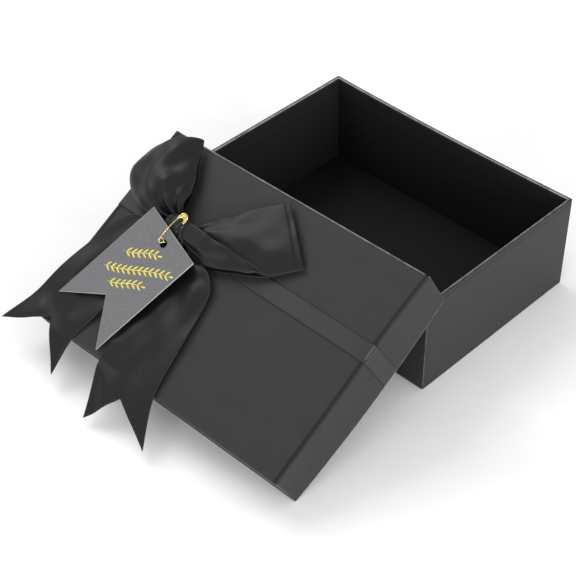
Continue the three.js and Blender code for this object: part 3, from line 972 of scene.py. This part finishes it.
def right_loop():
    """The right loop lies flat. Its front part overlaps the rest in a long pleat that runs from the
    knot to the loop's lower side: the pleat is a smooth step in height, pushed back over its foot."""
    upper_left = [(6, 22, 9), (10.6, 26.5, 8.5), (17.5, 35, 8), (26, 44.5, 7.6), (36, 55, 7), (49, 67.5, 6)]
    upper_right = [(9, 12, 8), (20, 9, 7), (32, 8, 6), (48.8, 14, 5.4), (66, 21.3, 5), (84.5, 37.5, 4.6)]
    folds = [
        (0.20, 0.26, 0.5, -1.2, 0.07), (0.72, 0.70, 0.4, 1.8, 0.10), (0.86, 0.86, 0.3, -1.8, 0.06),
        (0.40, 0.50, 1.4, 0.6, 0.16),
    ]
    points, across, reach, share = loop_points(
        upper_left, upper_right,
        crown=lambda out: 4.0 * (1 - 0.6 * smooth_step((out - 0.7) / 0.3)),
        low=lambda out: 3.0 - 1.4 * smooth_step(out / 0.4),
        folds=folds, far_bulge=0.8, dent=2.6,
    )
    points[..., 2] -= 0.8 * hump((reach - 0.975) / 0.01) * share
    line = 0.08 + 0.92 * (reach / 0.8) ** 1.15
    beyond = (across - line) / 0.05
    fade = smooth_step((0.95 - reach) / 0.3) * share**2
    step = smooth_step(beyond / 2 + 0.5) * np.exp(-np.clip(across - line, 0, 1) / 0.5)
    points[..., 2] += (3.6 * step - 1.2 * hump((beyond + 1.2) / 1.4)) * fade
    overhang = 3.0 * hump((beyond - 0.9) / 0.9) * fade
    points[..., :2] += overhang[..., None] * np.array([-0.35, 0.94])
    return points


def tail_points(left, right, notch, folds, seed, rows=110, columns=60):
    """One tail between its two selvedges, from the knot to its cut end, with folds and dents. The cut
    is a swallowtail: each lengthways line stops short by the notch's depth times (1 − |2a − 1|)."""
    across = np.linspace(0, 1, columns)[None]
    along = np.linspace(0, 1, rows)[:, None]
    length = path_length(spline(left, np.linspace(0, 1, 99)))
    share = along * (1 - notch / length * (1 - np.abs(2 * across - 1)))
    points = spline(left, share) * (1 - across[..., None]) + spline(right, share) * across[..., None]
    points[..., 2] += fold_lines(across, share, folds) + 2.6 * dents(across, share, seed)
    return points


def left_tail(notch):
    """The left tail runs down the lid's left end and hangs over its front."""
    return tail_points(
        [(-15, 12, 6.5), (-34, 12, 6), (-45, -2, 5.8), (-51, -20, 5.2), (-57, -42, 4.2),
         (-62, LID_FRONT + 8, 3), (-70, TAIL_TIP + 15.5, 1.2)],
        [(-3, 6, 4.5), (-5, -14, 3.5), (-9, -36, 1.8), (-13, -52, 1.2), (-18, LID_FRONT, 1.0),
         (-17, TAIL_TIP + 5, -3)],
        notch,
        [(0.3, 0.25, 0.7, 1.0, 0.12), (0.48, 0.42, 0.6, -0.6, 0.10), (0.66, 0.6, 0.5, 0.8, 0.12)],
        seed=3,
    )


def right_tail(notch):
    """The right tail runs straight down the lid and hangs over its front, with a shallower notch."""
    return tail_points(
        [(0, 6, 4.5), (3, -16, 3.6), (5, -37, 1.8), (7, -57, 1.2), (8, LID_FRONT - 3, 0.8),
         (20, TAIL_TIP - 4, -4)],
        [(15, 8, 4.5), (30, 7, 4.6), (42, -1, 4.6), (46.5, -18, 4.0), (50, -40, 3.0),
         (55, LID_FRONT, 1.8), (68, TAIL_TIP + 1, -4)],
        0.6 * notch,
        [(0.35, 0.4, 0.6, 0.8, 0.12), (0.55, 0.6, 0.6, -0.6, 0.10), (0.78, 0.8, 0.6, 1.4, 0.10)],
        seed=8,
    )


class GIFTBOX_OT_tails(bpy.types.Operator):
    """Make the bow's two tails"""

    bl_idname = "giftbox.tails"
    bl_label = "Bow tails"

    def execute(self, context):
        ribbon = context.scene.gift_box_ribbon
        width, notch = ribbon.width / MM, ribbon.notch / MM
        material = bow_satin("tail", width)
        for side, points in (("left", left_tail(notch)), ("right", right_tail(notch))):
            piece = ribbon_piece(f"bow_{side}_tail_ribbon", below_card(points), material, width, TAIL_LENGTH)
            lay_cloth(piece, "laid", (ribbon.width, TAIL_LENGTH * MM), "bow_satin", f"bow_tail_{side}")
        return {"FINISHED"}


def knot_points(rows=96, columns=96):
    """The strip wrapped round the bow's middle. With α round it in the plane of y and z, and β from
    one end of the knot to the other, y = cos α and z = sin α on a flattened oval that closes at both
    ends by (1 − β^6)^0.4. Creases run round it where the ribbon is gathered, its crown follows the
    tag's slope, and a bell lifts the stitch that the needle picks up."""
    low, high = KNOT_LOW - (KNOT_MIDDLE[0], 0, 0), KNOT_HIGH - (KNOT_MIDDLE[0], 0, 0)
    centre, half = (low + high) / 2, (high - low) / 2
    turn = full_turn(columns)
    end = np.sin(np.linspace(-np.pi / 2, np.pi / 2, rows))[:, None]
    closing = (1 - end**6 + 1e-4) ** 0.4
    creases = 0.45 * np.sin(11 * end + 0.8) + 0.25 * np.sin(23 * end + 2.0)
    flat = squared(np.sin(turn), 0.7)
    points = np.empty((rows, columns, 3))
    points[..., 0] = centre[0] + half[0] * end
    points[..., 1] = centre[1] + (half[1] - 0.6 + 0.5 * creases) * np.cos(turn) * closing
    slope = (points[..., 1] - centre[1]) * CARD_SLOPE
    ceiling = CARD_IN_BOW[2] + (centre[1] - CARD_IN_BOW[1]) * CARD_SLOPE - 1.3
    floor = low[2] + 0.4
    points[..., 2] = (floor + ceiling) / 2 + ((ceiling - floor) / 2 + creases) * flat * closing
    points[..., 2] += slope * (flat > 0) * flat
    stitch = hump((points[..., 0] - STITCH[0]) / 2.6) * hump((points[..., 1] - STITCH[1]) / 1.8)
    points[..., 2] += 1.3 * stitch * (flat > 0.2)
    return points


class GIFTBOX_OT_knot(bpy.types.Operator):
    """Make the strip wrapped round the bow's middle"""

    bl_idname = "giftbox.knot"
    bl_label = "Bow knot"

    def execute(self, context):
        width, wrap = (round(cut / MM) for cut in KNOT_FLAT)
        points = knot_points()
        rows, columns = points.shape[:2]
        around, across = cloth_grid(wrap, width, columns + 1, rows)
        uv = np.stack([across, around], 2)
        piece = closed_tube("bow_knot_ribbon", BOW.world(points), bow_satin("knot", width, 1.0), uv)
        give_thickness(piece, SATIN, -1)
        lay_cloth(piece, "folded", KNOT_FLAT, "bow_satin", "bow_knot")
        return {"FINISHED"}


BAND_WIDTH = 12.4
BAND_MIDDLE = 17.5
BAND_SKEW = math.radians(-0.67)
BAND_THICK = 0.3
BAND_COLUMNS = 25
PUCKER = 2.0


def band_points():
    """The band's grid in the lid's millimetres and its length: a path up the left wall, over the
    top and down the right wall, as wide as the band and skewed by BAND_SKEW. A pucker, a bell along
    the path that fades across it, stands up at the right end."""
    reach, foot, gap = LID_HIGH[0] + 0.1, LID_LOW[2] + 1.5, 0.1
    path = rounded([(-reach, foot), (-reach, gap), (reach, gap), (reach, foot)], 1.1, 3.0, steps=11)
    across = np.linspace(0, 1, BAND_COLUMNS)[None]
    side = (0.5 - across) * BAND_WIDTH
    along, height = path[:, :1], path[:, 1:]
    points = np.empty((len(path), BAND_COLUMNS, 3))
    points[..., 0] = along - side * math.sin(BAND_SKEW)
    points[..., 1] = BAND_MIDDLE + side * math.cos(BAND_SKEW) + along * math.tan(BAND_SKEW)
    points[..., 2] = height
    pucker = hump((along - reach + 2.0) / 0.65) * smooth_step((0.95 - across) / 0.25)
    points[..., 2] += PUCKER * pucker * (height > -2.0)
    return points, path_length(path)


class GIFTBOX_OT_band(bpy.types.Operator):
    """Lay the flat ribbon band over the lid"""

    bl_idname = "giftbox.band"
    bl_label = "Ribbon band"

    def execute(self, context):
        ribbon = context.scene.gift_box_ribbon
        material = satin("band_satin", ribbon.band, 0.16, 0.5, BAND_WIDTH, edge=0.5)
        points, length = band_points()
        across, along = cloth_grid(BAND_WIDTH, length, BAND_COLUMNS, len(points))
        uv = np.stack([BAND_WIDTH - across, along], 2)
        piece = grid_piece("band_ribbon_satin", LID.world(lid_bow(points)), material, uv=uv)
        give_thickness(piece, BAND_THICK, 1)
        lay_cloth(piece, "stretched", (BAND_WIDTH * MM, length * MM), "band_satin", "band_ribbon")
        return {"FINISHED"}


# ---------------------------------------------------------------- hang tag


TAG_THICK = 0.8
TAG_ROUND = 0.14
TAG_TURN = math.radians(-18.8)
HOLE_INSET = 8.2
LEAF_GAP = 3.9
LEAF_LENGTH = 4.5
LEAF_WIDTH = 1.15
STEM_WIDTH = 0.42
FOIL_HALF = 0.05
SPRIG_TILT = math.radians(37)

# The foil's rows: where each one's middle lies from the hole, and how many pairs of leaves it has.
SPRIGS = (("upper", (-6, -15), 6), ("middle", (1, -23.5), 12), ("lower", (2.5, -34), 6))

TAG = Place(CARD.origin, np.array([
    math.cos(TAG_TURN) * CARD.axes[0] + math.sin(TAG_TURN) * CARD.axes[1],
    -math.sin(TAG_TURN) * CARD.axes[0] + math.cos(TAG_TURN) * CARD.axes[1],
    CARD.axes[2],
]))


def tag_points():
    """The card as a closed ring: straight lines from the hole's edge to the outline, over a section
    with slightly rounded edges, and the share of painted highlight along its cut rim."""
    trim = bpy.context.scene.gift_box_trim
    half, tip = trim.card_width / MM / 2, HOLE_INSET - trim.card_length / MM
    notch = tip + trim.card_notch / MM
    corners = [(half, 0), (half, HOLE_INSET), (-half, HOLE_INSET), (-half, tip), (0, notch)]
    outline = rounded([*corners, (half, tip), (half, 0)], 0.35, 3.0, steps=5)[:-1]
    angle = np.arctan2(outline[:, 1], outline[:, 0])
    hole = np.stack([np.cos(angle), np.sin(angle)], 1) * trim.card_hole / MM
    length = np.linalg.norm(outline - hole, axis=1)[:, None]
    flat = length - 0.5
    face = np.concatenate([np.linspace(0, 1, 13)[1:-1] * flat, flat], 1)
    lines = face.shape[1]
    bend = np.linspace(0, np.pi, 7)
    thick = TAG_THICK / 2
    swell, height = TAG_ROUND * (np.sin(bend) - 1), thick * np.cos(bend)
    hole_rim = np.broadcast_to(-swell, (len(length), len(bend)))
    along = np.concatenate([face, length + swell, face[:, ::-1], hole_rim], 1)
    level = np.concatenate([np.full(lines, thick), height, np.full(lines, -thick), -height])
    way = (outline - hole) / length
    points = np.empty((*along.shape, 3))
    points[..., :2] = hole[:, None] + along[..., None] * way[:, None]
    points[..., 2] = level
    wear_and_painted_light = np.zeros(along.shape)
    # Painted highlight on the cut rim: full over its top and middle, fading towards the underside.
    wear_and_painted_light[:, lines:lines + len(bend)] = (1.0, 1.0, 1.0, 1.0, 1.0, 0.8, 0.5)
    return points, wear_and_painted_light


def stroke(path, width):
    """A pressed line of foil: a flat oval section, thick in its middle and thin at its ends, carried
    along a path on the card's face."""
    count = len(path)
    turn = full_turn(10)
    swell = width / 2 * (0.1 + 0.9 * np.sin(np.linspace(0, np.pi, count))[:, None] ** 0.8)
    route = np.concatenate([path, np.full((count, 1), TAG_THICK / 2 + 0.02)], 1)
    return carried(route, swell * np.cos(turn), FOIL_HALF * np.sin(turn), np.array([0, 0, 1.0]))


def sprig(centre, pairs, tilt):
    """A sprig of leaves in the tag's plane: a stem that rises and falls as one sine, with a pair of
    pointed leaves every LEAF_GAP along it, one to each side, and one leaf at its end."""
    half = (pairs + 0.6) * LEAF_GAP / 2
    share = np.linspace(-1, 1, 40)
    stem = np.stack([share * half, 0.7 * np.sin(np.pi * share)], 1)
    shapes = [stroke(stem, STEM_WIDTH)]
    feet = (np.arange(pairs) - (pairs - 1) / 2) * LEAF_GAP
    leaves = [(foot, side) for foot in feet for side in (-1, 1)] + [(half, 0)]
    bend = np.linspace(0, 1, 12)
    for foot, side in leaves:
        reach = LEAF_LENGTH * np.stack([bend * 0.72, side * (0.78 * bend - 0.16 * bend**2)], 1)
        shapes.append(stroke(reach + (foot, 0.7 * math.sin(math.pi * foot / half)), LEAF_WIDTH))
    cosine, sine = math.cos(tilt), math.sin(tilt)
    turned = np.array([[cosine, sine, 0], [-sine, cosine, 0], [0, 0, 1]])
    return [shape @ turned + np.array((*centre, 0)) for shape in shapes]


class GIFTBOX_OT_tag(bpy.types.Operator):
    """Cut the hang tag and press its foil sprigs"""

    bl_idname = "giftbox.tag"
    bl_label = "Hang tag"

    def execute(self, context):
        trim = context.scene.gift_box_trim
        points, wear_and_painted_light = tag_points()
        piece = grid_piece(
            "hang_tag_card", TAG.world(points), card_stock("grey_cardstock", trim.card),
            close_rows=True, close_columns=True, wear_and_painted_light=wear_and_painted_light,
        )
        mount(piece, "tag", "tag_card", "hang_tag")
        foil = gold_metal("gold_foil", trim.foil, 0.3)
        for name, centre, pairs in SPRIGS:
            piece = joined_tubes(f"tag_foil_{name}", TAG, sprig(centre, pairs, SPRIG_TILT), foil)
            mount(piece, "tag", "tag_card")
        return {"FINISHED"}


def joined_tubes(name, place, tubes, material):
    """Several closed tubes, with a flat cap on each end, as one mesh."""
    made = [closed_tube(f"{name}_{k}", place.world(tube), material) for k, tube in enumerate(tubes)]
    chosen = {"active_object": made[0], "selected_editable_objects": made, "selected_objects": made}
    with bpy.context.temp_override(**chosen):
        bpy.ops.object.join()
    made[0].name = name
    return made[0]


# ---------------------------------------------------------------- safety pin


# Where the coil's middle lies from the tag's hole, and how the pin is turned there.
COIL_SPOT = (-1.9, 1.0, 1.4)
PIN_HEADING = math.radians(75.5)
PIN_ROLL = math.radians(22)

# The pin's wire, coil and cap in millimetres, and the needle's way through the knot.
PIN_WIRE = 0.3
COIL_RADIUS = 1.5
COIL_TURNS = 1.5
CAP_END = 19.3
CAP_THROAT = 16.2
CAP_RADIUS = 2.75
PRONG_MIDDLE = 2.3
NEEDLE_ROUTE = [(0.3, 1.9, -1.15), (1.0, 5.0, -1.8), (1.9, 9.0, -2.4), (2.7, 13.2, -2.1), (4.4, 15.2, -1.0)]


def find_pin():
    """The pin's place on the card: u runs from its coil to its cap, v from needle to back wire."""
    turn = Matrix.Rotation(PIN_HEADING, 3, "Z") @ Matrix.Rotation(PIN_ROLL, 3, "X")
    axes = np.array(turn).T @ CARD.axes
    return Place(CARD.world(COIL_SPOT), axes)


def pin_wire_points():
    """The wire's skin: back wire, coil as a helix, then the needle's route, with a pointed end."""
    pin = find_pin()
    pitch = (2 * PIN_WIRE + 0.12) * COIL_TURNS
    share = np.linspace(0, 1, 19)
    turn = np.pi / 2 + share * COIL_TURNS * 2 * np.pi
    coil = np.stack([COIL_RADIUS * np.cos(turn), COIL_RADIUS * np.sin(turn), pitch / 2 - share * pitch], 1)
    back = np.array([(CAP_THROAT + 1.2, PRONG_MIDDLE - 0.05, 0), (CAP_THROAT - 1.5, PRONG_MIDDLE, 0),
                     (9, 2.4, 0), (3, 1.8, pitch / 2)])
    needle = CARD.world(NEEDLE_ROUTE)
    route = np.concatenate([pin.world(back), pin.world(coil), needle])
    path = pin.local(spline(route, np.linspace(0, 1, 260)))
    turn = full_turn(16)
    along = np.linspace(0, 1, len(path))[:, None]
    radius = PIN_WIRE * np.clip((1.0 - along) / 0.03, 0.12, 1) ** 0.6
    return pin, carried(path, radius * np.cos(turn), radius * np.sin(turn), np.array([0, 0, 1.0]))


def cap_points():
    """The cap is sheet folded over into a U: two prongs and a round head, with a small hole in the
    head. Its section is a rounded box carried between an outer line and an inner line."""
    share = np.linspace(0, 1, 22)
    shoulder = (17.7, CAP_RADIUS + 0.2)
    prong_outer = spline([(CAP_THROAT, PRONG_MIDDLE + 0.6), shoulder, (CAP_END, CAP_RADIUS)], share)
    prong_inner = spline([(CAP_THROAT, PRONG_MIDDLE - 0.65), (17.3, 1.4), (18.1, 0.8), (18.5, 0.04)], share)
    turn = np.linspace(np.pi / 2, 0, 26)[1:]
    head_outer = np.stack([CAP_END + CAP_RADIUS * np.cos(turn), CAP_RADIUS * np.sin(turn)], 1)
    around = np.linspace(0.96 * np.pi, 0, 26)[1:]
    head_inner = np.stack([CAP_END + 0.2 + 0.4 * np.cos(around), 0.4 * np.sin(around)], 1)
    outer = np.concatenate([prong_outer, head_outer])
    inner = np.concatenate([prong_inner, head_inner])
    mirror = np.array([1, -1])
    outer = np.concatenate([outer, (outer * mirror)[-2::-1]])
    inner = np.concatenate([inner, (inner * mirror)[-2::-1]])
    turn = full_turn(28)
    wide, tall = squared(np.cos(turn), 0.55), squared(np.sin(turn), 0.7)
    centre, half = (outer + inner) / 2, (outer - inner) / 2
    puff = 0.75 * (0.82 + 0.18 * np.sin(np.linspace(0, np.pi, len(centre))))[:, None]
    points = np.empty((len(centre), 28, 3))
    points[..., :2] = centre[:, None] + wide[..., None] * half[:, None]
    points[..., 2] = tall * puff
    return points[::-1]


class GIFTBOX_OT_pin(bpy.types.Operator):
    """Make the gold safety pin and its cap"""

    bl_idname = "giftbox.pin"
    bl_label = "Safety pin"

    def execute(self, context):
        gold = gold_metal("gold_plated_wire", context.scene.gift_box_trim.gold, 0.2)
        pin, wire = pin_wire_points()
        for part, points in (("wire", wire), ("cap", cap_points())):
            piece = closed_tube(f"safety_pin_{part}", pin.world(points), gold)
            mount(piece, "pin", "gold_wire", f"pin_{part}")
        return {"FINISHED"}


# ---------------------------------------------------------------- stage


CAMERA_SPOT = (0.49913, -0.58766, 0.65624)
CAMERA_AZIMUTH = math.radians(44.697)
CAMERA_ELEVATION = math.radians(41.417)
CAMERA_ROLL = math.radians(-0.426)
CAMERA_LENS = 95.0
FLOOR_HALF = 3.0
WORLD_STRENGTH = 0.66

# Each lamp's name, azimuth, elevation, distance, size and power in watts.
LAMPS = (
    ("key_lamp", -85, 52, 1.6, 1.0, 11),
    ("side_lamp", 82, 14, 1.6, 0.7, 18),
    ("front_lamp", 12, 14, 1.6, 0.8, 9),
)


def look(azimuth, elevation, roll):
    """The turn of a camera or lamp that looks along +Y at azimuth 0, level at elevation 0."""
    heading = Matrix.Rotation(azimuth, 4, "Z")
    tip = Matrix.Rotation(math.pi / 2 - elevation, 4, "X")
    return heading @ tip @ Matrix.Rotation(roll, 4, "Z")


def lamp(name, azimuth, elevation, distance, size, watts):
    """A soft square lamp that shines on the box from an azimuth and an elevation."""
    data = bpy.data.lights.new(name, "AREA")
    data.size = size
    data.energy = watts
    made = bpy.data.objects.new(name, data)
    turn = look(math.radians(azimuth), math.radians(elevation), 0)
    made.matrix_world = turn @ Matrix.Translation((0, 0, distance))
    bpy.context.scene.collection.objects.link(made)


def set_camera(scene):
    """Puts the scene's camera at its spot."""
    data = bpy.data.cameras.new("camera")
    data.lens = CAMERA_LENS
    data.sensor_width = 36.0
    camera = bpy.data.objects.new("camera", data)
    turn = look(CAMERA_AZIMUTH, CAMERA_ELEVATION, CAMERA_ROLL)
    camera.matrix_world = Matrix.Translation(CAMERA_SPOT) @ turn
    scene.collection.objects.link(camera)
    scene.camera = camera


def set_world(scene):
    """Gives the scene an even white light from all round."""
    world = bpy.data.worlds.new("soft_studio")
    world.use_nodes = True
    background = world.node_tree.nodes["Background"]
    background.inputs["Color"].default_value = (1, 1, 1, 1)
    background.inputs["Strength"].default_value = WORLD_STRENGTH
    scene.world = world


class GIFTBOX_OT_stage(bpy.types.Operator):
    """Set the pale floor, the soft lamps and the camera"""

    bl_idname = "giftbox.stage"
    bl_label = "Stage"

    def execute(self, context):
        scene = context.scene
        scene.view_settings.view_transform = "Standard"
        corners = np.array([[(-1, -1, 0), (1, -1, 0)], [(-1, 1, 0), (1, 1, 0)]]) * FLOOR_HALF
        grid_piece("studio_floor", corners, studio_floor("sweep_paper"))
        set_world(scene)
        for settings in LAMPS:
            lamp(*settings)
        set_camera(scene)
        return {"FINISHED"}


# ---------------------------------------------------------------- add-on


class GIFTBOX_PT_panel(bpy.types.Panel):
    """Gift box pieces and their settings"""

    bl_idname = "GIFTBOX_PT_panel"
    bl_label = "Gift box"
    bl_space_type = "VIEW_3D"
    bl_region_type = "UI"
    bl_category = "Gift box"

    def draw(self, context):
        for group in SETTINGS:
            box = self.layout.box()
            settings = getattr(context.scene, group)
            for key in settings.bl_rna.properties.keys():
                if key not in ("rna_type", "name"):
                    box.prop(settings, key)
        for operator in OPERATORS:
            self.layout.operator(operator.bl_idname)


SETTINGS = {
    "gift_box_paper": GiftBoxPaper,
    "gift_box_ribbon": GiftBoxRibbon,
    "gift_box_trim": GiftBoxTrim,
}
OPERATORS = (
    GIFTBOX_OT_stage, GIFTBOX_OT_wraps, GIFTBOX_OT_boards, GIFTBOX_OT_linings, GIFTBOX_OT_band,
    GIFTBOX_OT_loops, GIFTBOX_OT_tails, GIFTBOX_OT_knot, GIFTBOX_OT_tag, GIFTBOX_OT_pin,
)


def register():
    """Registers the classes and hangs the settings on the scene."""
    for made in (*SETTINGS.values(), *OPERATORS, GIFTBOX_PT_panel):
        bpy.utils.register_class(made)
    for name, group in SETTINGS.items():
        setattr(bpy.types.Scene, name, bpy.props.PointerProperty(type=group))


def unregister():
    """Takes the settings and the classes away again."""
    for name in SETTINGS:
        delattr(bpy.types.Scene, name)
    for made in (GIFTBOX_PT_panel, *reversed(OPERATORS), *SETTINGS.values()):
        bpy.utils.unregister_class(made)


def main():
    """Builds every piece in order."""
    register()
    for operator in OPERATORS:
        group, name = operator.bl_idname.split(".")
        getattr(getattr(bpy.ops, group), name)()


if __name__ == "__main__":
    main()
